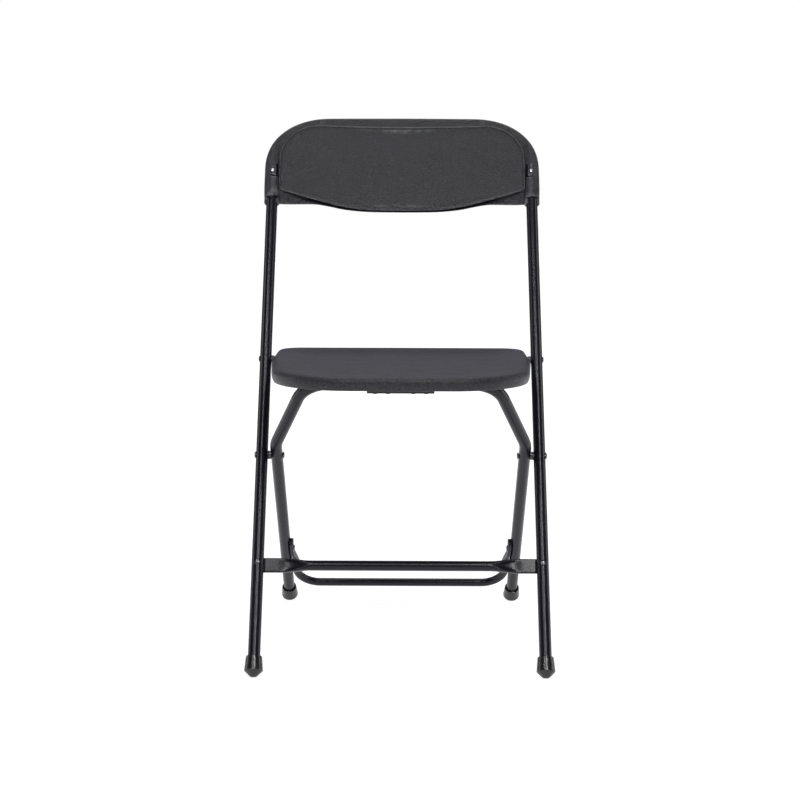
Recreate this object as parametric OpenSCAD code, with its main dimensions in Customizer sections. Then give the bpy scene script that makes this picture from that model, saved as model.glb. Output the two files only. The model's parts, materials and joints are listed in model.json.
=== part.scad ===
// Folding chair: two leaning uprights carry a moulded backrest, a rear leg frame
// is hinged low on the uprights, and a moulded seat is hinged higher up and rests
// on the crossbar of the rear leg frame. Units are millimetres, +Z is up, the
// front of the chair is at -Y and the floor is at Z = 0.

/* [Frame tubes] */
// Outer diameter of every frame tube
tube_d = 18; // [16:0.5:22]
// Wall thickness of the frame tubes
tube_wall = 1.2; // [0.9:0.1:2]
// Lean of the uprights from vertical, in degrees
upright_lean = 30.5; // [24:0.5:34]
// Half of the distance between the axes of the uprights
upright_half = 209.5; // [190:0.5:230]
// Upper end of the uprights, along the tube from the floor
upright_top = 856; // [820:1:880]
// Leg pivot, along the upright from the floor
leg_pivot_w = 339.5; // [320:0.5:360]
// Seat pivot, along the upright from the floor
seat_pivot_w = 497.5; // [480:0.5:520]

/* [Rear leg frame] */
// Lean of the rear legs from vertical, in degrees
rear_lean = 41; // [36:0.5:46]
// Half of the distance between the rear leg axes at the leg pivot
rear_half = 187; // [180:0.2:190]
// Height of the crossbar above the leg pivot, along the leg
bar_w = 164; // [150:1:180]
// Height above the pivot where the tube turns inwards
slant_w = 27; // [15:1:40]
// Inward slant of the tube above that turn, in degrees
slant = 20; // [10:1:30]
// Bend radius of the crossbar corners
bar_bend = 50; // [40:1:70]

/* [Braces] */
// Outer diameter of the front brace
front_brace_d = 15; // [12:0.5:18]
// Front brace, along the upright from the floor
front_brace_w = 170; // [150:1:190]
// Height of the crushed ends of the front brace
brace_flat_h = 22; // [18:1:24]
// Outer diameter of the rear brace
rear_brace_d = 13; // [10:0.5:15]
// Middle of the rear brace below the leg pivot, along the leg
rear_brace_w = 338; // [320:1:350]
// Bend radius of the rear brace
rear_brace_bend = 38; // [25:1:50]

/* [Seat] */
// Backward fall of the seat, in degrees
seat_tilt = 0.6; // [0:0.1:3]
// Distance from the seat pivot to the front edge of the seat
seat_front = 303; // [280:1:320]
// Distance from the seat pivot to the rear edge of the seat
seat_rear = 92; // [80:1:110]
// Half width of the seat at the pivot
seat_half = 196; // [185:0.5:198]
// Half width of the seat where the front corners begin
seat_half_front = 184; // [170:0.5:196]
// Radius of the front corners of the seat
seat_corner = 115; // [60:1:130]
// Radius of the rear corners of the seat
seat_rear_corner = 38; // [20:1:60]
// Depth of the dish in the seat surface
seat_dish = 4; // [0:0.5:6]

/* [Backrest] */
// Half width of the backrest
back_half = 222; // [215:0.5:228]
// Upper edge of the backrest, along the upright from the floor
back_top = 930; // [900:1:940]
// Lower edge of the sleeves, along the upright from the floor
back_low = 770; // [750:1:790]
// Backward sweep of the middle of the backrest
back_sweep = 24; // [10:1:35]

/* [Feet] */
// Largest diameter of the foot caps
foot_d = 27.3; // [24:0.1:30]
// Height of a foot cap from its tip to its rim
foot_h = 30; // [24:0.5:36]

/* [Hidden] */
$fn = 48;
tube_r = tube_d / 2;
clear = 0.05;
// The rear legs meet the uprights' line at the pivot and reach the floor behind it
pivot_y = leg_pivot_w * sin(upright_lean);
pivot_z = leg_pivot_w * cos(upright_lean);
leg_len = pivot_z / cos(rear_lean);
seat_y = seat_pivot_w * sin(upright_lean);
seat_z = seat_pivot_w * cos(upright_lean);
// The frame's own Y zero is the middle of the overall depth
depth_shift = -227.4;
rivet_pin_r = 3;
leg_pin_r = 3.5;
bushing_x0 = 168;
// Backrest rivets, along the upright from the floor
rivet_w = 826;
// Seat heights from the seat pivot axis, square to the seat
rim_top = 9;
rim_low = -10;
skin_low = 2;
rib_low = -5.2;
plate_low = -22.5;
bar_front = seat_y - (pivot_y - bar_w * sin(rear_lean));
// Crossbar axis seen from the seat pivot, in the seat's own directions
bar_drop = seat_z - (pivot_z + bar_w * cos(rear_lean));
bar_t = bar_front * cos(seat_tilt) - bar_drop * sin(seat_tilt);
bar_e = bar_drop * cos(seat_tilt) + bar_front * sin(seat_tilt);
screw_x = [-36, -18, 18, 36];
screw_y = -bar_t - 36;
bracket_w = 95;
steel = [0.13, 0.13, 0.14];
poly = [0.17, 0.17, 0.18];
rubber = [0.07, 0.07, 0.07];
bright = [0.72, 0.73, 0.75];

// The uprights' own axes: Z along the tube from the floor, Y to the rear of it
module at_upright() {
    translate([0, depth_shift, 0])
    rotate([-upright_lean, 0, 0])
    children();
}

// The rear leg frame's own axes: origin on the leg pivot axis, Z up the leg
module at_rear() {
    translate([0, depth_shift + pivot_y, pivot_z])
    rotate([rear_lean, 0, 0])
    children();
}

// The seat's own axes: origin on the seat pivot axis, Y to the rear, Z up
module at_seat() {
    translate([0, depth_shift + seat_y, seat_z])
    rotate([-seat_tilt, 0, 0])
    children();
}

// A cylinder along X that starts at x0
module x_rod(x0, x1, r) {
    translate([x0, 0, 0])
    rotate([0, 90, 0])
    cylinder(h = x1 - x0, r = r);
}

// A domed rivet or screw head that stands on z = 0
module dome(r, h) {
    rotate_extrude()
    polygon([
        [0, 0], [r, 0], [r, h * 0.25], [r * 0.9, h * 0.6],
        [r * 0.68, h * 0.85], [r * 0.38, h * 0.97], [0, h]
    ]);
}

module x_dome(x, side, r, h) {
    translate([x, 0, 0])
    rotate([0, 90 * side, 0])
    dome(r, h);
}

// Uprights
module upright(side) {
    at_upright()
    translate([side * upright_half, 0, 0])
    difference() {
        translate([0, 0, 6.6])
        cylinder(h = upright_top - 6.6, r = tube_r);
        translate([0, 0, 5])
        cylinder(h = upright_top, r = tube_r - tube_wall);
        translate([0, 0, seat_pivot_w])
        x_rod(-15, 15, rivet_pin_r + clear);
        translate([0, 0, leg_pivot_w])
        x_rod(-15, 15, leg_pin_r + clear);
        translate([0, 0, front_brace_w])
        rotate([90, 0, 0])
        cylinder(h = 30, r = 2.5 + clear, center = true);
        translate([0, -tube_r - 1, front_brace_w])
        rotate([-90, 0, 0])
        cylinder(h = 2.6, r = 4.4);
        translate([0, -5, rivet_w])
        rotate([90, 0, 0])
        cylinder(h = 10, r = 2 + clear);
    }
}

module left_upright() {
    color(steel) upright(-1);
}

module right_upright() {
    color(steel) upright(1);
}

// Foot caps: a flared cup with a conical tip and a hollow in the tip
module foot_cup(tip) {
    rotate_extrude()
    polygon([
        [0, tip + 1.6], [2.8, tip + 1.2], [3.4, tip], [4.5, tip], [foot_d / 2 - 0.6, tip + 8],
        [foot_d / 2, tip + 9], [foot_d / 2 - 0.1, tip + 10], [12.2, tip + foot_h - 5],
        [11.8, tip + foot_h - 1.2], [11.2, tip + foot_h - 0.2], [10.6, tip + foot_h],
        [10.2, tip + foot_h], [9.9, tip + foot_h - 2], [tube_r + clear, tip + foot_h - 4],
        [tube_r + clear, tip + 4.5], [0, tip + 4.5]
    ]);
}

module above_floor() {
    intersection() {
        children();
        translate([-400, -500, 0])
        cube([800, 1000, 100]);
    }
}

module front_foot(side) {
    above_floor()
    at_upright()
    translate([side * upright_half, 0, 0])
    foot_cup(1.75);
}

module front_left_foot() {
    color(rubber) front_foot(-1);
}

module front_right_foot() {
    color(rubber) front_foot(1);
}

// Front brace: a round tube crushed flat at both ends, behind the uprights
brace_y = tube_r + 0.1 + 2;
module brace_end(side) {
    difference() {
        union() {
            hull() {
                translate([side * 147, brace_y, 0])
                rotate([0, 90, 0])
                cylinder(h = 0.5, d = front_brace_d, center = true);
                translate([side * 182, brace_y, 0])
                cube([0.5, 4, brace_flat_h], center = true);
            }
            translate([side * 199.5, brace_y, 0])
            cube([35, 4, brace_flat_h], center = true);
        }
        translate([side * upright_half, 0, 0])
        rotate([-90, 0, 0])
        cylinder(h = 30, r = 2.5 + clear);
    }
}

module front_brace() {
    color(steel)
    at_upright()
    translate([0, 0, front_brace_w]) {
        translate([0, brace_y, 0])
        difference() {
            x_rod(-147, 147, front_brace_d / 2);
            x_rod(-140, 140, front_brace_d / 2 - tube_wall);
        }
        brace_end(-1);
        brace_end(1);
    }
}

module front_brace_rivets() {
    color(steel)
    at_upright()
    for (side = [-1, 1])
    translate([side * upright_half, 0, front_brace_w]) {
        translate([0, -tube_r + 1.6, 0])
        rotate([-90, 0, 0])
        cylinder(h = 2 * tube_r + 4, r = 2.5);
        translate([0, -tube_r + 1.6, 0])
        rotate([90, 0, 0])
        dome(4.2, 2);
        translate([0, brace_y + 2, 0])
        rotate([-90, 0, 0])
        dome(5, 2);
    }
}

// Seat pivot: rivets through the uprights, with a spacer beside the seat
module seat_pivot_rivets() {
    color(steel)
    at_upright()
    for (side = [-1, 1])
    translate([0, 0, seat_pivot_w])
    mirror([side < 0 ? 1 : 0, 0, 0]) {
        x_rod(172, upright_half + tube_r + 0.2, rivet_pin_r);
        x_dome(upright_half + tube_r, 1, 4.6, 2);
    }
}

module seat_pivot_spacers() {
    color(bright)
    at_upright()
    for (side = [-1, 1])
    translate([0, 0, seat_pivot_w])
    mirror([side < 0 ? 1 : 0, 0, 0])
    difference() {
        x_rod(seat_half + 0.7, upright_half - tube_r - 0.02, 5.5);
        x_rod(seat_half, upright_half, rivet_pin_r + clear);
    }
}

// Leg pivot: rivets through the uprights and the rear legs
leg_gap_out = upright_half - tube_r;
leg_gap_in = rear_half + tube_r;
leg_gap_mid = (leg_gap_out + leg_gap_in) / 2;
module leg_pivot_rivets() {
    color(steel)
    at_upright()
    for (side = [-1, 1])
    translate([0, 0, leg_pivot_w])
    mirror([side < 0 ? 1 : 0, 0, 0]) {
        x_rod(rear_half - tube_r - 0.8, upright_half + tube_r + 0.2, leg_pin_r);
        x_dome(upright_half + tube_r, 1, 5.2, 2.4);
        x_dome(rear_half - tube_r - 0.6, -1, 5.2, 2.2);
    }
}

module ring_x(x0, x1, r_out, r_in) {
    difference() {
        x_rod(x0, x1, r_out);
        x_rod(x0 - 1, x1 + 1, r_in);
    }
}

module leg_pivot_spacers() {
    color(steel)
    at_upright()
    for (side = [-1, 1])
    translate([0, 0, leg_pivot_w])
    mirror([side < 0 ? 1 : 0, 0, 0])
    ring_x(leg_gap_mid + 0.3, leg_gap_out - 0.02, 6.4, leg_pin_r + clear);
}

module leg_pivot_washers() {
    color(steel)
    at_rear()
    for (side = [-1, 1])
    mirror([side < 0 ? 1 : 0, 0, 0])
    ring_x(leg_gap_in + 0.02, leg_gap_mid - 0.1, 6.4, leg_pin_r + clear);
}

// Rear leg frame: one tube bent to a U, with straight legs below the pivot
corner_x = rear_half - (bar_w - slant_w) * tan(slant);
corner_t = bar_bend * tan((90 - slant) / 2);
turn_r = 60;
turn_t = turn_r * tan(slant / 2);
slant_len = (bar_w - slant_w) / cos(slant);
// Straight lengths reach this far over the start of a bend
lap = 0.4;

module bend(r_bend, angle, r) {
    rotate_extrude(angle = angle)
    translate([r_bend, 0])
    circle(r = r);
}

// One half of the bent tube, radius r, on the +X side
module rear_half_tube(r, low) {
    // Straight leg, from the foot to the turn above the pivot
    translate([0, 0, -leg_len + low])
    cylinder(h = leg_len - low + slant_w - turn_t + lap, r = r);
    // Turn to the inward slant
    translate([-turn_r, 0, slant_w - turn_t])
    rotate([90, 0, 0])
    bend(turn_r, slant, r - 0.03);
    // Slanted part
    translate([0, 0, slant_w])
    rotate([0, -slant, 0])
    translate([0, 0, turn_t - lap])
    cylinder(h = slant_len - turn_t - corner_t + 2 * lap, r = r);
    // Corner to the crossbar
    translate([corner_x - rear_half - corner_t, 0, bar_w - bar_bend])
    rotate([90, 0, 0])
    rotate([0, 0, slant])
    bend(bar_bend, 90 - slant, r - 0.03);
}

module rear_u(r, low) {
    for (side = [-1, 1])
    mirror([side < 0 ? 1 : 0, 0, 0])
    translate([rear_half, 0, 0])
    rear_half_tube(r, low);
    translate([0, 0, bar_w])
    x_rod(-(corner_x - corner_t) - lap, corner_x - corner_t + lap, r);
}

module rear_leg_frame() {
    color(steel)
    at_rear()
    difference() {
        rear_u(tube_r, 9);
        for (side = [-1, 1])
        translate([side * rear_half, 0, 0])
        x_rod(-15, 15, leg_pin_r + clear);
        for (side = [-1, 1])
        mirror([side < 0 ? 1 : 0, 0, 0])
        translate([rear_half, 0, 0]) {
            translate([0, 0, -leg_len - 1])
            cylinder(h = leg_len - 20, r = tube_r - tube_wall);
            translate([0, -2, -238])
            x_rod(-15, 0, 2.5 + clear);
        }
    }
}

module rear_foot(side) {
    above_floor()
    at_rear()
    mirror([side < 0 ? 1 : 0, 0, 0])
    translate([rear_half, 0, -leg_len])
    foot_cup(3.2);
}

module rear_left_foot() {
    color(rubber) rear_foot(-1);
}

module rear_right_foot() {
    color(rubber) rear_foot(1);
}

// Rear brace: a thin U-bent tube, with saddle ends riveted inside the legs
brace_x = 173.5;
brace_tube_x = 171.2;
brace_round_w = -278;
tab_top = -218;
tab_low = -252;
module saddle() {
    difference() {
        translate([brace_x + 2.6, 0, (tab_top + tab_low) / 2])
        cube([5.4, 15, tab_top - tab_low], center = true);
        translate([rear_half, 2, tab_low - 1])
        cylinder(h = tab_top - tab_low + 2, r = tube_r + clear);
        translate([brace_x - 5, 0, -238])
        x_rod(0, 16, 2.5 + clear);
        for (s = [-1, 1])
        translate([brace_x + 2, s * 7.5, tab_top])
        rotate([45, 0, 0])
        cube([12, 7, 7], center = true);
    }
}

module rear_brace_half() {
    translate([0, -2, 0]) {
        translate([brace_tube_x - rear_brace_bend, 0, -rear_brace_w + rear_brace_bend])
        rotate([90, 0, 0])
        rotate([0, 0, -90])
        bend(rear_brace_bend, 90, rear_brace_d / 2);
        translate([brace_tube_x, 0, -rear_brace_w + rear_brace_bend])
        cylinder(h = brace_round_w + rear_brace_w - rear_brace_bend, r = rear_brace_d / 2);
        hull() {
            translate([brace_tube_x, 0, brace_round_w])
            cylinder(h = 0.5, r = rear_brace_d / 2 - 0.2);
            translate([brace_x + 1.6, 0, tab_low - 0.5])
            cube([3, 15, 1], center = true);
        }
        saddle();
    }
}

module rear_brace() {
    color(steel)
    at_rear() {
        rear_brace_half();
        mirror([1, 0, 0])
        rear_brace_half();
        translate([0, -2, -rear_brace_w])
        x_rod(-(brace_tube_x - rear_brace_bend), brace_tube_x - rear_brace_bend, rear_brace_d / 2);
    }
}

module rear_brace_rivets() {
    color(steel)
    at_rear()
    for (side = [-1, 1])
    mirror([side < 0 ? 1 : 0, 0, 0])
    translate([0, -2, -238]) {
        x_rod(brace_x - 0.4, brace_x + 9, 2.5);
        x_dome(brace_x - 0.1, -1, 4.4, 2);
    }
}

// Seat outline as [point, outward normal] pairs for the +X half, front to rear
side_a = atan((seat_half - seat_half_front) / 130);
fc = [seat_half_front - seat_corner * cos(side_a), -seat_front + seat_corner];
rc = [seat_half - seat_rear_corner, seat_rear - seat_rear_corner];
function arc_pts(c, r, a0, a1, n) = [
    for (i = [0 : n])
    let (a = a0 + (a1 - a0) * i / n)
    [[c[0] + r * cos(a), c[1] + r * sin(a)], [cos(a), sin(a)]]
];
seat_right = concat(
    [[[0, -seat_front - 0.9], [0, -1]], [[fc[0] / 2, -seat_front - 0.6], [0, -1]]],
    arc_pts(fc, seat_corner, -90, -side_a, 12),
    [[[seat_half - 0.4, -60], [1, 0]]],
    arc_pts(rc, seat_rear_corner, 0, 90, 7),
    [[[80, seat_rear + 0.4], [0, 1]], [[0, seat_rear + 0.6], [0, 1]]]
);
function mirrored(half) = concat(
    half,
    [for (i = [len(half) - 2 : -1 : 1]) [[-half[i][0][0], half[i][0][1]], [-half[i][1][0], half[i][1][1]]]]
);
seat_line = mirrored(seat_right);
seat_mid = [0, (seat_rear - seat_front) / 2];

// Rings are [inset, height] near the rim and [scale, height] further in
function inset_ring(line, d, z) = [for (e = line) [e[0][0] - d * e[1][0], e[0][1] - d * e[1][1], z]];
function scaled_ring(line, d, c, s, z) = [
    for (e = line)
    [
        c[0] + (e[0][0] - d * e[1][0] - c[0]) * s,
        c[1] + (e[0][1] - d * e[1][1] - c[1]) * s,
        z
    ]
];

// Side faces between successive rings of n points, and the two end caps
function tube_faces(n, rings) = [
    for (k = [0 : rings - 2], i = [0 : n - 1])
    [k * n + i, k * n + (i + 1) % n, (k + 1) * n + (i + 1) % n, (k + 1) * n + i]
];
function cap_low(n) = [[for (i = [n - 1 : -1 : 0]) i]];
function cap_high(n, rings) = [[for (i = [0 : n - 1]) (rings - 1) * n + i]];

seat_rings = [
    inset_ring(seat_line, 0.9, rim_low),
    inset_ring(seat_line, 0, rim_low + 1),
    inset_ring(seat_line, 0, rim_top - 8),
    inset_ring(seat_line, 1, rim_top - 4.2),
    inset_ring(seat_line, 3.6, rim_top - 1.3),
    inset_ring(seat_line, 8, rim_top),
    scaled_ring(seat_line, 16, seat_mid, 1, rim_top - seat_dish * 0.06),
    scaled_ring(seat_line, 16, seat_mid, 0.82, rim_top - seat_dish * 0.42),
    scaled_ring(seat_line, 16, seat_mid, 0.6, rim_top - seat_dish * 0.8),
    scaled_ring(seat_line, 16, seat_mid, 0.3, rim_top - seat_dish)
];

module seat_body() {
    polyhedron(
        points = [for (r = seat_rings) for (p = r) p],
        faces = concat(
            cap_low(len(seat_line)),
            tube_faces(len(seat_line), len(seat_rings)),
            cap_high(len(seat_line), len(seat_rings))
        ),
        convexity = 6
    );
}

// Underside: pockets between the ribs, inside a wall that follows the outline
rib_x = [-120, -60, -22, 22, 60, 120];
rib_y = [-230, -150, -70, 30];
module inner_outline() {
    polygon([for (e = seat_line) [e[0][0] - 4 * e[1][0], e[0][1] - 4 * e[1][1]]]);
}

module pivot_pads() {
    for (side = [-1, 1])
    translate([side * 181 - 14, -9])
    square([28, 18]);
}

module screw_pads() {
    for (x = screw_x)
    translate([x - 5, screw_y - 5])
    square([10, 10]);
}

module rib_lines() {
    for (x = rib_x)
    translate([x - 1.5, -400])
    square([3, 600]);
    for (y = rib_y)
    translate([-300, y - 1.5])
    square([600, 3]);
}

module seat_pockets() {
    translate([0, 0, rim_low - 1])
    linear_extrude(height = rib_low - rim_low + 1)
    difference() {
        inner_outline();
        pivot_pads();
    }
    translate([0, 0, rib_low - 1])
    linear_extrude(height = skin_low - rib_low + 1)
    difference() {
        inner_outline();
        pivot_pads();
        screw_pads();
        rib_lines();
    }
}

module seat_shell() {
    color(poly)
    at_seat()
    difference() {
        seat_body();
        seat_pockets();
        for (side = [-1, 1])
        mirror([side < 0 ? 1 : 0, 0, 0])
        x_rod(bushing_x0 - 1, seat_half + 1, 4.55);
        for (x = screw_x)
        translate([x, screw_y, rim_low])
        cylinder(h = 12, r = 1.75);
    }
}

module seat_pivot_bushings() {
    color(bright)
    at_seat()
    for (side = [-1, 1])
    mirror([side < 0 ? 1 : 0, 0, 0])
    ring_x(bushing_x0, seat_half + 0.3, 4.5, rivet_pin_r + clear);
}

// Channel of bent sheet under the seat: the crossbar stops against its rear wall
module crossbar_bracket() {
    color(steel)
    at_seat()
    difference() {
        translate([-bracket_w / 2, -bar_t - 42, plate_low])
        cube([bracket_w, 32, rib_low - 0.1 - plate_low]);
        translate([-bracket_w / 2 - 1, -bar_t - 40, plate_low + 2])
        cube([bracket_w + 2, 28, 30]);
        for (x = screw_x)
        translate([x, screw_y, plate_low - 1])
        cylinder(h = 4, r = 2.1);
    }
}

module bracket_screws() {
    color(bright)
    at_seat()
    for (x = screw_x)
    translate([x, screw_y, plate_low]) {
        cylinder(h = 24, r = 1.7);
        rotate([180, 0, 0])
        dome(3.6, 1.6);
    }
}

// Backrest outline on the uprights' plane, as points for the +X half, top to bottom
corner_n = 12;
function sup(v) = pow(v, 2 / 2.2);
back_out = concat(
    [[0, back_top + 0.8], [60, back_top + 0.6], [100, back_top + 0.2]],
    [
        for (i = [0 : corner_n])
        let (a = 90 - 90 * i / corner_n)
        [115 + 107 * sup(cos(a)), back_top - 96 + 96 * sup(sin(a))]
    ],
    [
        [back_half, 800], [back_half - 0.4, back_low], [206, back_low], [194, back_low - 1],
        [182, back_low - 1.5], [165, back_low - 1.5], [140, back_low - 1.7], [116, back_low - 6.2],
        [92, back_low - 11.7], [55, back_low - 15.6], [0, back_low - 16.4]
    ]
);
// Edge of the raised pad, with the same number of points
back_pad = concat(
    [[0, back_top - 16], [60, back_top - 15.2], [105, back_top - 13.6]],
    [
        for (i = [0 : corner_n])
        let (a = 90 - 90 * i / corner_n)
        [136 + 63 * cos(a), back_top - 76 + 63 * sin(a)]
    ],
    [
        [198.8, 822], [198.4, 806], [196.5, 798.5], [192, 793.8],
        [182, 791], [165.5, 785], [145, 779], [120, 771.5],
        [94, 764.6], [57, 759], [0, 757.4]
    ]
);
function both(half) = concat(half, [for (i = [len(half) - 2 : -1 : 1]) [-half[i][0], half[i][1]]]);
out_line = both(back_out);
pad_line = both(back_pad);
pad_mid = [0, 842];

// Depth behind the uprights' plane, measured level
function flange_d(x) = 8 + (back_sweep - 6) * (1 - pow(x / 222, 2));
function pad_d(x) = -9 + back_sweep * (1 - min(1.1, pow(x / 200, 2)));
// The flange steps back from the pad, further under its lower lip
function step_d(w) = 1.5 + 7.5 * pow(min(1, max(0, (800 - w) / 22)), 1.5);
// A level shift to the rear, in the uprights' own axes
function back_pt(x, w, d) = [x, d * cos(upright_lean), w + d * sin(upright_lean)];
function mix(a, b, t) = a + (b - a) * t;
function rear_ring(t, d_add) = [
    for (i = [0 : len(out_line) - 1])
    let (x = mix(out_line[i][0], pad_line[i][0], t), w = mix(out_line[i][1], pad_line[i][1], t))
    back_pt(x, w, flange_d(x) + d_add)
];
function front_ring(t, d_add) = [
    for (i = [0 : len(out_line) - 1])
    let (x = mix(out_line[i][0], pad_line[i][0], t), w = mix(out_line[i][1], pad_line[i][1], t))
    back_pt(x, w, pad_d(x) + step_d(w) + d_add)
];
function pad_ring(s, d_add) = [
    for (p = pad_line)
    let (x = p[0] * s, w = pad_mid[1] + (p[1] - pad_mid[1]) * s)
    back_pt(x, w, pad_d(x) + d_add)
];
back_rings = [
    pad_ring(0.3, 4),
    pad_ring(0.7, 4),
    pad_ring(0.95, 4.2),
    rear_ring(0.75, 9),
    rear_ring(0.12, 9),
    rear_ring(0, 6),
    front_ring(0, 3.5),
    front_ring(0.06, 1),
    front_ring(0.2, 0),
    front_ring(0.6, 0),
    front_ring(0.93, 0.2),
    pad_ring(1, 0.2),
    pad_ring(0.995, -0.7),
    pad_ring(0.985, -0.5),
    pad_ring(0.97, 0.1),
    pad_ring(0.7, 0),
    pad_ring(0.3, 0)
];

module backrest_panel() {
    color(poly)
    at_upright()
    difference() {
        union() {
            polyhedron(
                points = [for (r = back_rings) for (p = r) p],
                faces = concat(
                    cap_low(len(out_line)),
                    tube_faces(len(out_line), len(back_rings)),
                    cap_high(len(out_line), len(back_rings))
                ),
                convexity = 8
            );
            for (side = [-1, 1])
            translate([side * upright_half, 0, back_low])
            cylinder(h = 90, r = 12.4);
        }
        for (side = [-1, 1])
        translate([side * upright_half, 0, 0]) {
            translate([0, 0, back_low - 20])
            cylinder(h = upright_top - back_low + 20.5, r = tube_r + clear);
            translate([0, -5, rivet_w])
            rotate([90, 0, 0])
            cylinder(h = 20, r = 2.4);
            translate([0, -10.3, rivet_w])
            rotate([90, 0, 0])
            cylinder(h = 20, r = 4);
            // Short notch of the sleeve in front of the tube
            translate([-20, -20, back_low - 5])
            cube([40, 15, 14]);
        }
        // Slots beside the rivet tabs
        for (side = [-1, 1])
        translate([side * 202.5 - 1, -22, rivet_w - 10])
        cube([2, 16, 24]);
    }
}

module backrest_rivets() {
    color(bright)
    at_upright()
    for (side = [-1, 1])
    translate([side * upright_half, -7.9, rivet_w])
    rotate([90, 0, 0]) {
        cylinder(h = 3, r = 2);
        translate([0, 0, 2.6])
        dome(3.2, 1.6);
    }
}

left_upright();
right_upright();
backrest_panel();
backrest_rivets();
front_brace();
front_brace_rivets();
front_left_foot();
front_right_foot();
seat_pivot_rivets();
seat_pivot_spacers();
leg_pivot_rivets();
leg_pivot_spacers();
rear_leg_frame();
leg_pivot_washers();
rear_brace();
rear_brace_rivets();
rear_left_foot();
rear_right_foot();
seat_shell();
seat_pivot_bushings();
crossbar_bracket();
bracket_screws();
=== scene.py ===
# Looks for the folding chair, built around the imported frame. Metres, +Z up, front at -Y.
import json
import math

import bmesh
import bpy
from mathutils import Matrix, Vector


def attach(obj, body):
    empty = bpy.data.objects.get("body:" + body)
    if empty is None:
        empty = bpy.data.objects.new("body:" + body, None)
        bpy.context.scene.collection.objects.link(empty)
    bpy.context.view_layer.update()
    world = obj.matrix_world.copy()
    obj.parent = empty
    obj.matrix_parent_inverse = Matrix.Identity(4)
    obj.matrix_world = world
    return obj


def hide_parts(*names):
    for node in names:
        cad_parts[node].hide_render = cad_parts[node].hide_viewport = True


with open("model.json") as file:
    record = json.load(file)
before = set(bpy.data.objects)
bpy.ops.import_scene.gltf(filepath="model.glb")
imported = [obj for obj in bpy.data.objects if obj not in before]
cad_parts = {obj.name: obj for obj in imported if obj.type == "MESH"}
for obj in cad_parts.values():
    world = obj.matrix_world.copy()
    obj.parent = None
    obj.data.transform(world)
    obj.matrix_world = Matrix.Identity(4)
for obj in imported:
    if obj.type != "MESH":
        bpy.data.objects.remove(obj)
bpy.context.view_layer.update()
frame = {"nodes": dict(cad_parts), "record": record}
MM = 0.001

# ---------------------------------------------------------------- frame positions
hinges = {j["name"]: Vector(j["pos_m"]) for j in frame["record"]["behaviour"]["joints"]}
leg_pivot, seat_pivot = hinges["leg_fold"], hinges["seat_fold"]
along = (seat_pivot - leg_pivot).normalized()
lean = math.atan2(along.y, along.z)
foot_line = leg_pivot - along * (leg_pivot.z / along.z)
AT_UPRIGHT = Matrix.Translation(foot_line) @ Matrix.Rotation(-lean, 4, "X")
seat_tilt = -0.6
AT_SEAT = Matrix.Translation(seat_pivot) @ Matrix.Rotation(math.radians(seat_tilt), 4, "X")
# Lengths below are in millimetres, in the axes of the uprights or of the seat
upright_x = 209.5
tube_r = 9.0


# ---------------------------------------------------------------- mesh helpers
def new_object(name, verts, faces, place, sharp=None):
    """verts in millimetres in the axes of place, which moves them to the row frame in metres."""
    mesh = bpy.data.meshes.new(name)
    mesh.from_pydata([place @ (Vector(v) * MM) for v in verts], [], faces)
    bm = bmesh.new()
    bm.from_mesh(mesh)
    bmesh.ops.recalc_face_normals(bm, faces=bm.faces[:])
    bm.to_mesh(mesh)
    bm.free()
    obj = bpy.data.objects.new(name, mesh)
    bpy.context.scene.collection.objects.link(obj)
    shade(obj, sharp)
    return obj


def shade(obj, sharp=None):
    mesh = obj.data
    for p in mesh.polygons:
        p.use_smooth = True
    if sharp:
        bm = bmesh.new()
        bm.from_mesh(mesh)
        for e in bm.edges:
            if len(e.link_faces) == 2 and e.calc_face_angle(0) > math.radians(sharp):
                e.smooth = False
        bm.to_mesh(mesh)
        bm.free()


def loft(rings, cap=True):
    """Closed rings of equal length, joined by quads, with a fan at each end."""
    n = len(rings[0])
    verts = [tuple(p) for r in rings for p in r]
    faces = []
    for k in range(len(rings) - 1):
        for i in range(n):
            a, b = k * n + i, k * n + (i + 1) % n
            faces.append((a, b, b + n, a + n))
    if cap:
        for k, flip in ((0, True), (len(rings) - 1, False)):
            ring = rings[k]
            centre = [sum(p[j] for p in ring) / n for j in range(3)]
            verts.append(tuple(centre))
            c = len(verts) - 1
            for i in range(n):
                a, b = k * n + i, k * n + (i + 1) % n
                faces.append((b, a, c) if flip else (a, b, c))
    return verts, faces


def block(lo, hi):
    v = [(x, y, z) for x in (lo[0], hi[0]) for y in (lo[1], hi[1]) for z in (lo[2], hi[2])]
    f = [(0, 1, 3, 2), (4, 6, 7, 5), (0, 4, 5, 1), (2, 3, 7, 6), (0, 2, 6, 4), (1, 5, 7, 3)]
    return v, f


def revolve(profile, n=64, centre=(0, 0)):
    """profile of (radius, height) pairs, about local Z, as a closed solid."""
    rings = []
    for r, z in profile:
        rings.append(
            [
                (
                    centre[0] + r * math.cos(2 * math.pi * i / n),
                    centre[1] + r * math.sin(2 * math.pi * i / n),
                    z,
                )
                for i in range(n)
            ]
        )
    return loft(rings)


def combine(obj, cutters, how):
    """Booleans, applied one at a time, so that the piece ends as a plain closed mesh."""
    for c in cutters:
        mod = obj.modifiers.new("cut", "BOOLEAN")
        mod.operation = how
        mod.solver = "MANIFOLD"
        mod.object = c
        bpy.context.view_layer.update()
        deps = bpy.context.evaluated_depsgraph_get()
        mesh = bpy.data.meshes.new_from_object(obj.evaluated_get(deps))
        obj.modifiers.clear()
        old = obj.data
        obj.data = mesh
        bpy.data.meshes.remove(old)
        bpy.data.objects.remove(c)


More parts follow.
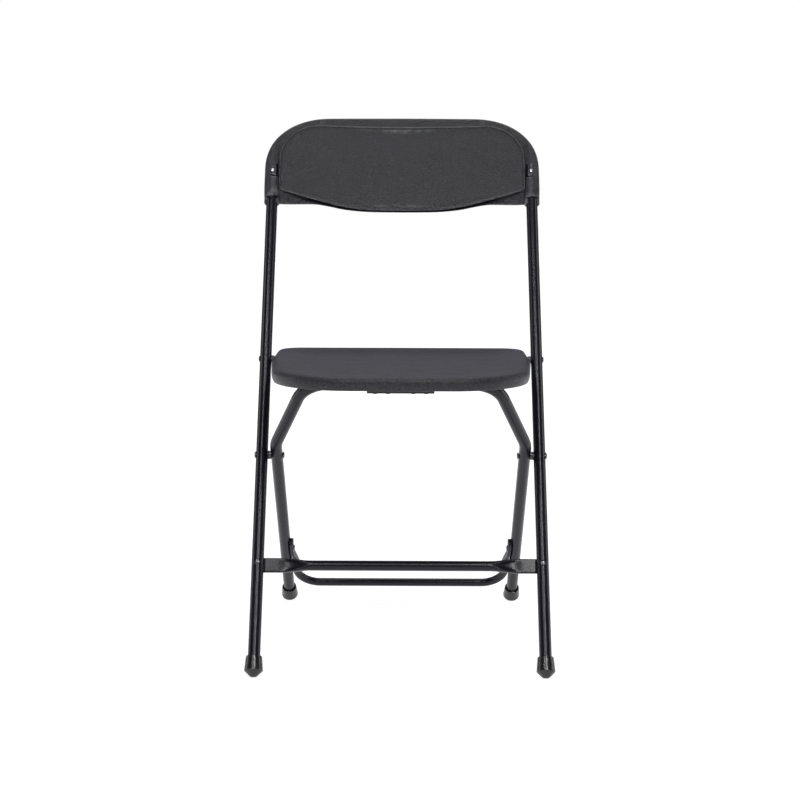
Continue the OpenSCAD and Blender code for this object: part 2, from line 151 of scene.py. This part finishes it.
def smooth_line(points, per, sharp=()):
    """Catmull-Rom through points, per steps a span, with straight spans at the sharp points."""
    out = []
    last = len(points) - 1
    for i in range(last):
        p1, p2 = points[i], points[i + 1]
        p0 = points[i - 1] if i > 0 and i not in sharp else None
        p3 = points[i + 2] if i + 2 <= last and (i + 1) not in sharp else None
        m1 = [(p2[j] - p0[j]) / 2 if p0 else (p2[j] - p1[j]) for j in range(2)]
        m2 = [(p3[j] - p1[j]) / 2 if p3 else (p2[j] - p1[j]) for j in range(2)]
        for s in range(per):
            t = s / per
            h = (2 * t**3 - 3 * t**2 + 1, t**3 - 2 * t**2 + t, -2 * t**3 + 3 * t**2, t**3 - t**2)
            out.append([h[0] * p1[j] + h[1] * m1[j] + h[2] * p2[j] + h[3] * m2[j] for j in range(2)])
    out.append(list(points[-1]))
    return out


# ---------------------------------------------------------------- materials
def ramp(tree, source, lo, hi, a, b):
    n = tree.nodes.new("ShaderNodeMapRange")
    n.inputs["From Min"].default_value, n.inputs["From Max"].default_value = lo, hi
    n.inputs["To Min"].default_value, n.inputs["To Max"].default_value = a, b
    tree.links.new(source, n.inputs["Value"])
    return n.outputs["Result"]


def noise(tree, coords, scale, detail=2.0, rough=0.5):
    n = tree.nodes.new("ShaderNodeTexNoise")
    n.inputs["Scale"].default_value = scale
    n.inputs["Detail"].default_value = detail
    n.inputs["Roughness"].default_value = rough
    tree.links.new(coords, n.inputs["Vector"])
    return n.outputs["Fac"]


def mix_colour(tree, fac, a, b):
    n = tree.nodes.new("ShaderNodeMix")
    n.data_type = "RGBA"
    tree.links.new(fac, n.inputs["Factor"])
    for value, socket in ((a, n.inputs["A"]), (b, n.inputs["B"])):
        if isinstance(value, tuple):
            socket.default_value = (*value, 1)
        else:
            tree.links.new(value, socket)
    return n.outputs["Result"]


def material(name, dark, light, worn_and_glint, rough, grain, bump, broad=14.0, speck_and_glint=0.0, metallic=0.0,
             specular=0.5, wear_and_highlight_range=(0.53, 0.60), wear_and_highlight_amount=0.5, edge=None):
    """One procedural finish: drifting colour, grain, light speckle that is partly painted glints,
    roughness drift, bump and scuffed ridges, which paint a highlight line where edge is given. grain is
    (scale per metre, share of the scuffed and glint colour that it mixes in), bump is (scale, strength,
    depth in metres), the pointiness range gives where the scuffing and the ridge highlight start and are
    full, edge is the colour of the painted ridge highlight."""
    m = bpy.data.materials.new(name)
    m.use_nodes = True
    tree = m.node_tree
    shader = tree.nodes["Principled BSDF"]
    coords = tree.nodes.new("ShaderNodeTexCoord").outputs["Object"]
    drift = ramp(tree, noise(tree, coords, broad, 3), 0.3, 0.7, 0, 1)
    colour = mix_colour(tree, drift, dark, light)
    fine = noise(tree, coords, grain[0], 3, 0.6)
    colour = mix_colour(tree, ramp(tree, fine, 0.35, 0.75, 0, grain[1]), colour, worn_and_glint)
    # Light speckle dots: partly the plastic's own speckle, partly painted glints of light on its grain.
    if speck_and_glint:
        speck_and_glint_dots = ramp(tree, noise(tree, coords, grain[0] * 0.45, 2), 0.62, 0.72, 0, speck_and_glint)
        colour = mix_colour(tree, speck_and_glint_dots, colour, worn_and_glint)
    # Ridges found by pointiness take the scuffed colour; where an edge colour is given, this is a painted
    # highlight line along the ridges.
    point = tree.nodes.new("ShaderNodeNewGeometry").outputs["Pointiness"]
    wear_and_highlight = tree.nodes.new("ShaderNodeMath")
    wear_and_highlight.operation = "MULTIPLY"
    tree.links.new(ramp(tree, point, wear_and_highlight_range[0], wear_and_highlight_range[1], 0, wear_and_highlight_amount), wear_and_highlight.inputs[0])
    tree.links.new(ramp(tree, noise(tree, coords, 90, 4), 0.35, 0.65, 0, 1), wear_and_highlight.inputs[1])
    colour = mix_colour(tree, wear_and_highlight.outputs[0], colour, edge or worn_and_glint)
    tree.links.new(colour, shader.inputs["Base Color"])
    gloss = ramp(tree, noise(tree, coords, broad * 2.5, 4), 0.3, 0.7, rough[0], rough[1])
    tree.links.new(gloss, shader.inputs["Roughness"])
    shader.inputs["Metallic"].default_value = metallic
    shader.inputs["Specular IOR Level"].default_value = specular
    relief = tree.nodes.new("ShaderNodeBump")
    relief.inputs["Strength"].default_value = bump[1]
    relief.inputs["Distance"].default_value = bump[2]
    tree.links.new(noise(tree, coords, bump[0], 3, 0.55), relief.inputs["Height"])
    tree.links.new(relief.outputs["Normal"], shader.inputs["Normal"])
    return m


finishes = {
    "frame_paint": dict(
        dark=(0.0048, 0.0048, 0.0090), light=(0.0064, 0.0064, 0.0115), worn_and_glint=(0.02, 0.02, 0.03),
        rough=(0.25, 0.28), grain=(900, 0.02), bump=(700, 0.003, 0.0001),
        specular=0.31, wear_and_highlight_amount=0.0),
    "bracket_paint": dict(
        dark=(0.006, 0.006, 0.007), light=(0.010, 0.010, 0.011), worn_and_glint=(0.05, 0.05, 0.055),
        rough=(0.32, 0.42), grain=(900, 0.08), bump=(1100, 0.10, 0.0002), wear_and_highlight_amount=0.1),
    # The seat's light speckle is partly painted glints on the grain.
    "seat_plastic": dict(
        dark=(0.0085, 0.0083, 0.0112), light=(0.0110, 0.0107, 0.0142), worn_and_glint=(0.075, 0.073, 0.086),
        rough=(0.38, 0.42), grain=(380, 0.34), bump=(320, 0.70, 0.0018),
        speck_and_glint=0.20, specular=0.30, wear_and_highlight_amount=0.2),
    # Backrest: the edge colour and the narrow pointiness range paint a highlight line along the ridge
    # round the pad; the light speckle is partly painted glints.
    "back_plastic": dict(
        dark=(0.0045, 0.0044, 0.0068), light=(0.0062, 0.0060, 0.0088), worn_and_glint=(0.055, 0.053, 0.066),
        rough=(0.31, 0.34), grain=(420, 0.26), bump=(430, 0.80, 0.0017),
        speck_and_glint=0.22, specular=0.36, wear_and_highlight_range=(0.515, 0.56), wear_and_highlight_amount=1.0, edge=(0.13, 0.13, 0.14)),
    "foot_rubber": dict(
        dark=(0.006, 0.006, 0.007), light=(0.010, 0.010, 0.011), worn_and_glint=(0.04, 0.04, 0.04),
        rough=(0.17, 0.27), grain=(500, 0.20), bump=(150, 0.35, 0.0016), wear_and_highlight_amount=0.1),
    "spacer_nylon": dict(
        dark=(0.008, 0.008, 0.008), light=(0.014, 0.014, 0.014), worn_and_glint=(0.05, 0.05, 0.05),
        rough=(0.35, 0.45), grain=(900, 0.2), bump=(900, 0.15, 0.0002), wear_and_highlight_amount=0.1),
    "rivet_steel": dict(
        dark=(0.05, 0.05, 0.055), light=(0.08, 0.08, 0.086), worn_and_glint=(0.30, 0.30, 0.31),
        rough=(0.18, 0.28), grain=(1200, 0.15), bump=(900, 0.05, 0.0002),
        broad=200, metallic=0.7, wear_and_highlight_amount=0.2),
    "bright_steel": dict(
        dark=(0.42, 0.42, 0.43), light=(0.58, 0.58, 0.60), worn_and_glint=(0.8, 0.8, 0.8),
        rough=(0.20, 0.34), grain=(1200, 0.2), bump=(900, 0.12, 0.0002),
        broad=200, metallic=1.0),
}
finish_of = {name: material(name, **recipe) for name, recipe in finishes.items()}
slot_of = {s["node"]: s["material_slot"] for s in frame["record"]["subparts"]}


def dress(obj, slot):
    obj.data.materials.clear()
    obj.data.materials.append(finish_of[slot])


for name, obj in frame["nodes"].items():
    for s in obj.material_slots:
        s.material = finish_of[slot_of[name]]

# ---------------------------------------------------------------- seat moulding
seat_front, seat_rear, half, half_front = 303.0, 92.0, 196.0, 184.0
r_front, r_rear = 115.0, 38.0
taper_run, waist_y, front_bow, rear_bow = 130.0, -60.0, 0.9, 0.6
rim_top, rim_low, skin_low, rib_low = 9.0, -10.0, 2.0, -5.2
dish_deep, dish_bowl = 5.6, 0.32
side_a = math.atan((half - half_front) / taper_run)
fc = (half_front - r_front * math.cos(side_a), -seat_front + r_front)
rc = (half - r_rear, seat_rear - r_rear)


def arc(c, r, a0, a1, n):
    out = []
    for i in range(n + 1):
        a = a0 + (a1 - a0) * i / n
        out.append(((c[0] + r * math.cos(a), c[1] + r * math.sin(a)), (math.cos(a), math.sin(a))))
    return out


def span(a, b, n):
    """Points strictly between two outline entries, with normals turned evenly."""
    out = []
    for i in range(1, n):
        t = i / n
        nx, ny = (a[1][k] * (1 - t) + b[1][k] * t for k in (0, 1))
        size = math.hypot(nx, ny)
        out.append((tuple(a[0][k] * (1 - t) + b[0][k] * t for k in (0, 1)), (nx / size, ny / size)))
    return out


front_mid = ((0, -seat_front - front_bow), (0, -1))
rear_mid = ((0, seat_rear + rear_bow), (0, 1))
corner_f = arc(fc, r_front, -math.pi / 2, -side_a, 30)
corner_r = arc(rc, r_rear, 0, math.pi / 2, 16)
waist = ((half - 0.4, waist_y), (1, 0))
right = (
    [front_mid] + span(front_mid, corner_f[0], 8) + corner_f + span(corner_f[-1], waist, 10) + [waist]
    + span(waist, corner_r[0], 8) + corner_r + span(corner_r[-1], rear_mid, 10) + [rear_mid]
)
outline = right + [((-p[0], p[1]), (-n[0], n[1])) for p, n in right[-2:0:-1]]
mid_y = (seat_rear - seat_front) / 2


def seat_ring(inset, z, scale=1.0):
    ring = []
    for p, n in outline:
        x = (p[0] - inset * n[0]) * scale
        y = mid_y + (p[1] - inset * n[1] - mid_y) * scale
        ring.append((x, y, z))
    return ring


def dish_z(s):
    """Height of the seat surface at this share of the way out from the middle."""
    edge = min(1, max(0, (s - 0.72) / 0.25))
    edge = edge * edge * (3 - 2 * edge)
    return rim_top - dish_deep * (dish_bowl * (1 - s**2) + (1 - dish_bowl) * (1 - edge))


seat_rings = [seat_ring(5, skin_low - 0.6, s) for s in (0.25, 0.5, 0.75)]
seat_rings += [seat_ring(5, skin_low - 0.6), seat_ring(4.6, skin_low - 1.6), seat_ring(5.6, rim_low + 0.6)]
seat_rings += [seat_ring(5.2, rim_low), seat_ring(3.8, rim_low), seat_ring(3.1, rim_low + 0.3)]
seat_rings += [seat_ring(2.6, rim_low + 1), seat_ring(1.5, rim_low + 3.2), seat_ring(0.7, rim_low + 5.5)]
seat_rings += [seat_ring(0.2, -1.8), seat_ring(0, 0.4)]
for k in range(1, 9):
    a = k * math.pi / 16
    seat_rings.append(seat_ring(8 * (1 - math.cos(a)), 0.9 + 8.1 * math.sin(a)))
for s in (0.985, 0.965, 0.94, 0.915, 0.89, 0.86, 0.83, 0.8, 0.77, 0.7, 0.6, 0.5, 0.38, 0.26, 0.13):
    seat_rings.append(seat_ring(8, dish_z(s), s))
v, f = loft(seat_rings)
seat = new_object("seat_moulding", v, f, AT_SEAT, sharp=50)
dress(seat, "seat_plastic")

# Ribs and pads under the seat, inside the wall
wall = 4.4
inner = [(p[0] - wall * n[0], p[1] - wall * n[1]) for p, n in outline]


def crossings(value, axis):
    """Where the inner wall line crosses this value on the axis, as its least and greatest place."""
    hits = []
    for i in range(len(inner)):
        a, b = inner[i], inner[(i + 1) % len(inner)]
        if (a[axis] - value) * (b[axis] - value) <= 0 and a[axis] != b[axis]:
            t = (value - a[axis]) / (b[axis] - a[axis])
            hits.append(a[1 - axis] + t * (b[1 - axis] - a[1 - axis]))
    return min(hits), max(hits)


pieces_v, pieces_f = [], []


def add_block(lo, hi):
    bv, bf = block(lo, hi)
    base = len(pieces_v)
    pieces_v.extend(bv)
    pieces_f.extend(tuple(i + base for i in face) for face in bf)


rib_x, rib_y = (-120, -60, -22, 22, 60, 120), (-230, -150, -70, 30)
rib_half_x, rib_half_y = 1.5, 1.45
pivot_pad_x, pivot_pad_long, pivot_pad_half = 181, 14, 9
# The depths differ a little from each other so that no two faces lie in one plane
for x in rib_x:
    y0, y1 = crossings(x, 0)
    add_block((x - rib_half_x, y0, rib_low), (x + rib_half_x, y1, skin_low + 1))
for y in rib_y:
    x0, x1 = crossings(y, 1)
    add_block((x0, y - rib_half_y, rib_low - 0.04), (x1, y + rib_half_y, skin_low + 0.9))
for side in (-1, 1):
    x = side * pivot_pad_x
    add_block((x - pivot_pad_long, -pivot_pad_half, rim_low + 0.05),
              (x + pivot_pad_long, pivot_pad_half, skin_low + 1.1))
ribs = new_object("seat_ribs", pieces_v, pieces_f, AT_SEAT, sharp=30)
dress(ribs, "seat_plastic")
ribs.parent = seat

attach(seat, "seat")
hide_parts("seat_shell")

# ---------------------------------------------------------------- backrest moulding
back_half, back_top, back_low, back_sweep = 222.0, 930.0, 770.0, 24.0
rivet_w, head_r, head_depth = 826.0, 4.0, 10.3
sleeve_r, bore_top, seam_x = 12.4, 856.4, 133


def sup(v):
    """Corner curve of the outer edge, a little squarer than a circle."""
    return max(0.0, v) ** (2 / 2.2)


N_CORNER, N_TOP, PER = 30, 10, 4
tail_out = [
    (back_half, 800), (back_half - 0.4, back_low), (206, back_low), (194, back_low - 1),
    (182, back_low - 1.5), (165, back_low - 1.5), (140, back_low - 1.7), (116, back_low - 6.2),
    (92, back_low - 11.7), (55, back_low - 15.6), (0, back_low - 16.4),
]
tail_pad = [
    (198.8, 822), (198.4, 806), (196.5, 798.5), (192, 793.8), (182, 791), (165.5, 785),
    (145, 779), (120, 771.5), (94, 764.6), (57, 759), (0, 757.4),
]
top_out = [[115 * i / N_TOP, back_top + 0.8 * (1 - (i / N_TOP) ** 2)] for i in range(N_TOP)]
top_pad = [[136 * i / N_TOP, back_top - 16 + 3 * (i / N_TOP) ** 2] for i in range(N_TOP)]
arc_out, arc_pad = [], []
for i in range(N_CORNER + 1):
    a = math.pi / 2 * (1 - i / N_CORNER)
    arc_out.append([115 + 107 * sup(math.cos(a)), back_top - 96 + 96 * sup(math.sin(a))])
    arc_pad.append([136 + 63 * math.cos(a), back_top - 76 + 63 * math.sin(a)])
low_out = smooth_line([arc_out[-1]] + tail_out, PER, sharp=(2, 3))[1:]
low_pad = smooth_line([arc_pad[-1]] + tail_pad, PER)[1:]


def both(half_line):
    """The +X half of an outline with its mirror image."""
    return half_line + [[-p[0], p[1]] for p in half_line[-2:0:-1]]


out_line = both(top_out + arc_out + low_out)
pad_line = both(top_pad + arc_pad + low_pad)
pad_mid = 842.0
cos_l, sin_l = math.cos(lean), math.sin(lean)


def flange_d(x):
    """Depth of the flange behind the uprights' plane."""
    return 8 + (back_sweep - 6) * (1 - (x / 222) ** 2)


def pad_d(x):
    """Depth of the pad's face, which is hollow from side to side."""
    return -9 + back_sweep * (1 - min(1.1, (x / 200) ** 2))


def step_d(w):
    """The flange steps back from the pad, further under its lower lip."""
    return 1.5 + 7.5 * min(1, max(0, (800 - w) / 22)) ** 1.5


def side_lift(x):
    """The flange bulges forward over the uprights."""
    k = min(1, max(0, (abs(x) - 197) / 10))
    return 3.0 * k * k * (3 - 2 * k)


def curl(w):
    """The pad's lower edge curls forward a little."""
    return 2.6 * min(1, max(0, (808 - w) / 44)) ** 2


def back_pt(x, w, d):
    """A level shift of d to the rear, in the uprights' own axes."""
    return (x, d * cos_l, w + d * sin_l)


def between(t, depth):
    """A ring this share of the way from the outer edge to the pad's edge."""
    ring = []
    for o, p in zip(out_line, pad_line):
        x, w = o[0] + (p[0] - o[0]) * t, o[1] + (p[1] - o[1]) * t
        ring.append(back_pt(x, w, depth(x, w)))
    return ring


def rear_ring(t, d_add):
    return between(t, lambda x, w: flange_d(x) + d_add)


def front_ring(t, d_add):
    return between(t, lambda x, w: pad_d(x) + step_d(w) - side_lift(x) + d_add)


def pad_ring(s, d_add, inset=0.0):
    """The pad's edge, moved inwards by inset, then scaled by s about the pad's middle."""
    ring = []
    n = len(pad_line)
    for i, p in enumerate(pad_line):
        a, b = pad_line[i - 1], pad_line[(i + 1) % n]
        tx, tw = b[0] - a[0], b[1] - a[1]
        size = math.hypot(tx, tw) or 1
        # The outline runs clockwise seen from the front, so this points inwards
        x = (p[0] + inset * tw / size) * s
        w = pad_mid + (p[1] - inset * tx / size - pad_mid) * s
        ring.append(back_pt(x, w, pad_d(x) - curl(w) * max(0, 1 - abs(d_add) / 4) + d_add))
    return ring


rings = [pad_ring(s, 4) for s in (0.12, 0.3, 0.5, 0.7, 0.85)] + [pad_ring(0.95, 4.2)]
rings += [rear_ring(0.75, 9), rear_ring(0.45, 9), rear_ring(0.12, 9), rear_ring(0.04, 8.4)]
rings += [rear_ring(0.01, 7.3), rear_ring(0, 6)]
rings += [front_ring(0, 5.5), front_ring(0, 3.6), front_ring(0.015, 2.1), front_ring(0.05, 1.0)]
rings += [front_ring(0.1, 0.4), front_ring(0.18, 0.1), front_ring(0.3, 0), front_ring(0.45, 0)]
rings += [front_ring(0.6, 0), front_ring(0.75, 0), front_ring(0.88, 0), front_ring(0.96, 0.15)]
rings += [pad_ring(1, 1.2, -0.1), pad_ring(1, 0.1), pad_ring(1, -0.8, 0.3), pad_ring(1, -1.25, 0.8)]
rings += [pad_ring(1, -1.3, 1.4), pad_ring(1, -0.9, 2.2), pad_ring(1, -0.1, 3.0), pad_ring(1, 0.15, 4)]
rings += [pad_ring(1, 0.1, 6)]
rings += [pad_ring(s, 0) for s in (0.93, 0.85, 0.75, 0.62, 0.5, 0.36, 0.22, 0.1)]
v, f = loft(rings)
back = new_object("backrest_moulding", v, f, AT_UPRIGHT)
sleeves, bores = [], []
for side in (-1, 1):
    x = side * upright_x
    v, f = revolve([(sleeve_r - 0.8, back_low), (sleeve_r, back_low + 0.8), (sleeve_r, 795),
                    (12.1, 812), (11.4, 830), (10.4, 848), (9.6, 858), (5, 862)], 72, (x, 0))
    sleeves.append(new_object("sleeve", v, f, AT_UPRIGHT))
    v, f = revolve([(tube_r + 0.05, back_low - 22), (tube_r + 0.05, bore_top)], 72, (x, 0))
    bores.append(new_object("bore", v, f, AT_UPRIGHT))
    v, f = revolve([(head_r, 0), (head_r, 20)], 40)
    head = Matrix.Translation(Vector((x, -head_depth, rivet_w)) * MM)
    head = AT_UPRIGHT @ head @ Matrix.Rotation(math.pi / 2, 4, "X")
    bores.append(new_object("head_recess", v, f, head))
    # Sleeve mouth, the L of two slots beside the rivet, the pad's notch, and the seam
    for lo, hi in (
        ((x - 17.3, -21.7, back_low - 6.1), (x + 18.1, -5.2, back_low + 9)),
        ((side * 202.4 - 1.3, -24, rivet_w - 10), (side * 202.4 + 1.3, -4, rivet_w + 14)),
        ((side * 206.5 - 5, -24, rivet_w - 11.5), (side * 206.5 + 5, -8, rivet_w - 8.8)),
        ((side * 197.6 - 3, -24, rivet_w + 3), (side * 197.6 + 3, -8.5, rivet_w + 8)),
        ((side * seam_x - 0.8, -40, back_top - 11), (side * seam_x + 0.8, 6.6, back_top + 14)),
    ):
        v, f = block(lo, hi)
        bores.append(new_object("slot", v, f, AT_UPRIGHT))
combine(back, sleeves, "UNION")
combine(back, bores, "DIFFERENCE")
shade(back, 40)
dress(back, "back_plastic")
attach(back, "front_frame")
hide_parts("backrest_panel")

# ---------------------------------------------------------------- front brace
brace_w, brace_y = 170.0, 11.1
round_r, flat_half, flat_thick, round_end, crush_run = 7.5, 11.0, 2.0, 133, 45


def brace_section(x):
    """Half height, half thickness, squareness and front dent of the tube at this place."""
    t = min(1, max(0, (abs(x) - round_end) / crush_run))
    e = t * t * (3 - 2 * t)
    high = round_r + (flat_half - round_r) * e
    deep = round_r + (flat_thick - round_r) * e
    return high, deep, 2 + 4 * e, 5.0 * (t * (1 - t)) ** 1.2


def brace_ring(x, shrink=0.0, n=72):
    h, d, e, dent = brace_section(x)
    ring = []
    for i in range(n):
        a = 2 * math.pi * i / n
        c, s = math.cos(a), math.sin(a)
        y = (d - shrink) * math.copysign(abs(c) ** (2 / e), c)
        if c < 0:
            y += dent * 2.2 * max(0, 1 - abs(s) / 0.62)
        z = (h - shrink) * math.copysign(abs(s) ** (2 / e), s)
        ring.append((x, brace_y + y, brace_w + z))
    return ring


# Sections along the tube, close together where its shape changes
xs = [-217 + 0.8 * i for i in range(3)] + [-213 + 3.0 * i for i in range(23)]
xs += [-147 + 3.0 * i for i in range(1, 9)] + [-120 + 12.0 * i for i in range(11)]
xs = [x for x in xs if x < 0]
xs = xs + [0.0] + [-x for x in reversed(xs)]
rings = [brace_ring(xs[0], 0.9)] + [brace_ring(x) for x in xs] + [brace_ring(xs[-1], 0.9)]
rings[0] = [(p[0] - 0.3, p[1], p[2]) for p in rings[0]]
rings[-1] = [(p[0] + 0.3, p[1], p[2]) for p in rings[-1]]
v, f = loft(rings)
brace = new_object("front_brace_tube", v, f, AT_UPRIGHT, sharp=60)
dress(brace, "frame_paint")
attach(brace, "front_frame")
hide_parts("front_brace")

# ---------------------------------------------------------------- floor, light, camera
floor_mesh = bpy.data.meshes.new("floor")
floor_mesh.from_pydata([(-9, -9, 0), (9, -9, 0), (9, 12, 0), (-9, 12, 0)], [], [(0, 1, 2, 3)])
floor = bpy.data.objects.new("floor", floor_mesh)
bpy.context.scene.collection.objects.link(floor)
pale = bpy.data.materials.new("floor_pale")
pale.use_nodes = True
pale_shader = pale.node_tree.nodes["Principled BSDF"]
pale_shader.inputs["Base Color"].default_value = (0.42, 0.42, 0.42, 1)
pale_shader.inputs["Roughness"].default_value = 0.9
pale_shader.inputs["Specular IOR Level"].default_value = 0.0
pale_shader.inputs["Emission Color"].default_value = (1, 1, 1, 1)
reach = pale.node_tree.nodes.new("ShaderNodeVectorMath")
reach.operation = "LENGTH"
pale.node_tree.links.new(pale.node_tree.nodes.new("ShaderNodeTexCoord").outputs["Object"], reach.inputs[0])
glow = ramp(pale.node_tree, reach.outputs["Value"], 0.7, 2.6, 0.84, 1.05)
pale.node_tree.links.new(glow, pale_shader.inputs["Emission Strength"])
floor_mesh.materials.append(pale)


def softbox(name, place, aim, wide, high, watts):
    """A rectangular area light turned towards aim."""
    light = bpy.data.lights.new(name, "AREA")
    light.shape = "RECTANGLE"
    light.size, light.size_y, light.energy = wide, high, watts
    obj = bpy.data.objects.new(name, light)
    obj.location = place
    obj.rotation_euler = (Vector(aim) - Vector(place)).to_track_quat("-Z", "Y").to_euler()
    bpy.context.scene.collection.objects.link(obj)


softbox("right_strip", (0.62, -2.1, 2.3), (0, 0, 0.40), 0.20, 1.6, 34)
softbox("left_strip", (-0.62, -2.1, 2.3), (0, 0, 0.40), 0.16, 1.6, 19)
softbox("right_side", (2.2, 0.3, 1.0), (0, 0, 0.45), 0.6, 1.8, 10)
softbox("left_side", (-2.2, 0.3, 1.0), (0, 0, 0.45), 0.6, 1.8, 8)
softbox("high_key", (-0.55, -1.05, 2.2), (-0.15, 0.1, 0.7), 0.14, 0.14, 3.4)
softbox("top_box", (0, 0.8, 2.6), (0, 0, 0.4), 2.0, 1.0, 22)

world = bpy.data.worlds.new("studio")
bpy.context.scene.world = world
world.use_nodes = True
wt = world.node_tree
# The object is lit by a dim sky, brighter behind it, and the backdrop itself is white
sky = wt.nodes["Background"]
sep = wt.nodes.new("ShaderNodeSeparateXYZ")
wt.links.new(wt.nodes.new("ShaderNodeTexCoord").outputs["Generated"], sep.inputs[0])
level = ramp(wt, sep.outputs["Y"], -0.2, 0.6, 0.03, 0.34)
wt.links.new(level, sky.inputs["Strength"])
sky.inputs["Color"].default_value = (0.86, 0.87, 1, 1)
seen = wt.nodes.new("ShaderNodeBackground")
seen.inputs["Color"].default_value = (1, 1, 1, 1)
seen.inputs["Strength"].default_value = 1.0
pick = wt.nodes.new("ShaderNodeMixShader")
wt.links.new(wt.nodes.new("ShaderNodeLightPath").outputs["Is Camera Ray"], pick.inputs[0])
wt.links.new(sky.outputs[0], pick.inputs[1])
wt.links.new(seen.outputs[0], pick.inputs[2])
wt.links.new(pick.outputs[0], wt.nodes["World Output"].inputs["Surface"])
bpy.context.scene.view_settings.view_transform = "Standard"

pitch, yaw, roll = 0.1488, -0.0028, 0.0033
fwd = Vector((math.sin(yaw) * math.cos(pitch), math.cos(yaw) * math.cos(pitch), -math.sin(pitch)))
side_v = Vector((math.cos(yaw), -math.sin(yaw), 0))
up_v = side_v.cross(fwd)
r2 = side_v * math.cos(roll) + up_v * math.sin(roll)
u2 = up_v * math.cos(roll) - side_v * math.sin(roll)
cam = bpy.data.cameras.new("camera")
cam.lens, cam.sensor_width = 71.26, 36
cam_obj = bpy.data.objects.new("camera", cam)
place = Matrix((r2, u2, -fwd)).transposed().to_4x4()
cam_x, cam_back, cam_z = 0.0053, 2.1802, 0.7297
place.translation = Vector((cam_x, foot_line.y - cam_back, cam_z))
cam_obj.matrix_world = place
bpy.context.scene.collection.objects.link(cam_obj)
bpy.context.scene.camera = cam_obj
